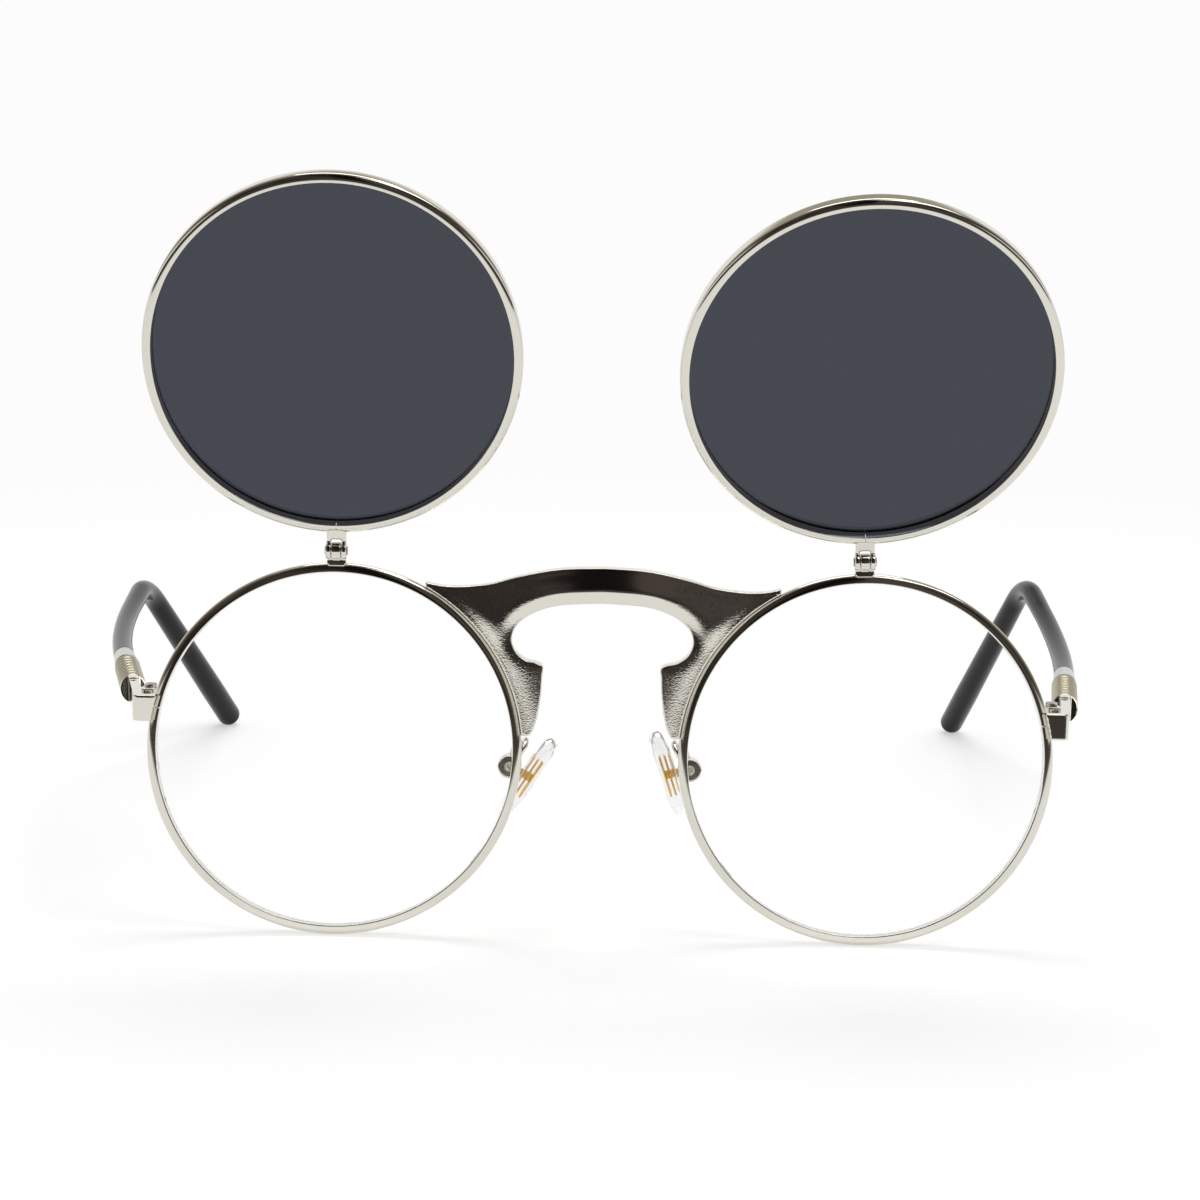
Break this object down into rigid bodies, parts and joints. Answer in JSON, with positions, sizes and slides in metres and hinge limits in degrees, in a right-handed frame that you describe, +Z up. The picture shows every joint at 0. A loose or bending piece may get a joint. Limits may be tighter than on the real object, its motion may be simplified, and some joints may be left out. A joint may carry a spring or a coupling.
{
  "type": "flip up sunglasses",
  "caption": "Round metal sunglasses with tinted lenses that flip up over clear ones, a broad cast bridge, coil-wound temples and rocking nose pads, standing open with both flips raised.",
  "frame": {"origin": "middle of the outline of the standing pair, on the table it stands on", "axes": "+Z up; +X towards the wearer's left (image right in the picture); +Y backwards, the way the temples run, so the wearer looks along -Y"},
  "size_m": [0.1536, 0.1532, 0.1072],
  "materials": {
    "steel": "polished nickel plating, warm white",
    "screw_steel": "bright turned steel",
    "clear_lens": "clear, polished, untinted",
    "tinted_lens": "dark grey tint, polished",
    "coil_wire": "drawn wire, slightly dull, pale brass",
    "core_wire": "drawn wire",
    "collar_steel": "satin silver",
    "sleeve": "smooth black sleeve, glossy with a soft sheen",
    "pad_silicone": "clear soft silicone",
    "gilt": "bright gilt plate"
  },
  "bodies": {
    "front": {"bridge": "steel", "left_rim": "steel", "right_rim": "steel", "left_lens": "clear_lens", "right_lens": "clear_lens", "left_end_piece": "steel", "right_end_piece": "steel", "left_closing_block": "steel", "right_closing_block": "steel", "left_closing_screw": "screw_steel", "right_closing_screw": "screw_steel", "left_hinge_screw": "screw_steel", "right_hinge_screw": "screw_steel", "left_flip_base": "steel", "right_flip_base": "steel", "left_pad_arm": "steel", "right_pad_arm": "steel", "left_pad_screw": "screw_steel", "right_pad_screw": "screw_steel"},
    "left_flip": {"left_flip_rim": "steel", "left_flip_lens": "tinted_lens", "left_flip_bracket": "steel", "left_flip_pin": "screw_steel"},
    "left_temple": {"left_temple_ferrule": "steel", "left_temple_spring": "coil_wire", "left_temple_core": "core_wire", "left_temple_collar": "collar_steel", "left_temple_sleeve": "sleeve"},
    "left_pad_body": {"left_pad": "pad_silicone", "left_pad_insert": "gilt"},
    "right_flip": {"right_flip_rim": "steel", "right_flip_lens": "tinted_lens", "right_flip_bracket": "steel", "right_flip_pin": "screw_steel"},
    "right_temple": {"right_temple_ferrule": "steel", "right_temple_spring": "coil_wire", "right_temple_core": "core_wire", "right_temple_collar": "collar_steel", "right_temple_sleeve": "sleeve"},
    "right_pad_body": {"right_pad": "pad_silicone", "right_pad_insert": "gilt"}
  },
  "joints": [
    {"name": "left_flip_hinge", "type": "hinge", "parent": "front", "child": "left_flip", "pos_m": [0.0389, -0.05776, 0.05436], "axis": [0.9994, 0.003, 0.0348], "range_deg": [-22.7, 154.3]},
    {"name": "right_flip_hinge", "type": "hinge", "parent": "front", "child": "right_flip", "pos_m": [-0.03472, -0.05776, 0.05437], "axis": [1, 0, 0], "range_deg": [-17, 160]},
    {"name": "left_temple_hinge", "type": "hinge", "parent": "front", "child": "left_temple", "pos_m": [0.06637, -0.05471, 0.03194], "axis": [0, 0, 1], "range_deg": [0, 80]},
    {"name": "right_temple_hinge", "type": "hinge", "parent": "front", "child": "right_temple", "pos_m": [-0.06121, -0.05471, 0.03194], "axis": [0, 0, 1], "range_deg": [-91, 0]},
    {"name": "left_pad_rock", "type": "hinge", "parent": "front", "child": "left_pad_body", "pos_m": [0.01548, -0.05179, 0.02273], "axis": [0, 0.9962, -0.0872], "range_deg": [-19.7, 4.3]},
    {"name": "right_pad_rock", "type": "hinge", "parent": "front", "child": "right_pad_body", "pos_m": [-0.01032, -0.05179, 0.02273], "axis": [0, 0.9962, -0.0872], "range_deg": [-18.8, 5.2]}
  ]
}
